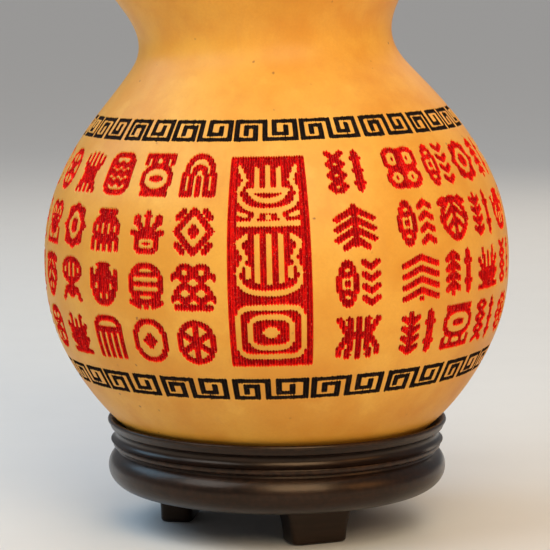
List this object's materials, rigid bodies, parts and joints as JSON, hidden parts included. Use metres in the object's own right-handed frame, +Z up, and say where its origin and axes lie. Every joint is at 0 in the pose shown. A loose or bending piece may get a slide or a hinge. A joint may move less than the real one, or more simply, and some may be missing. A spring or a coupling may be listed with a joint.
{
  "type": "dried bottle gourd on a stand",
  "caption": "Dried bottle gourd with a round belly, a pinched waist and a curled stalk, carved with fret bands and small ornaments, seated in a dark turned dish on feet.",
  "frame": {"origin": "on the floor under the middle of the gourd's belly, which is the bottom centre of the bounding box", "axes": "+Z up; -Y is the front, where the framed ornament panel is; +X is to the viewer's right"},
  "size_m": [0.11, 0.11, 0.2221],
  "materials": {
    "gourd_skin": "smooth dried rind, waxed to a soft gloss, warm yellow-orange with faint mottling; carved parts are painted red and black",
    "dark_wood": "nearly black brown stain under satin lacquer"
  },
  "bodies": {
    "root": {"gourd": "gourd_skin", "stand_dish": "dark_wood", "foot_front": "dark_wood", "foot_left": "dark_wood", "foot_back": "dark_wood"}
  },
  "joints": []
}
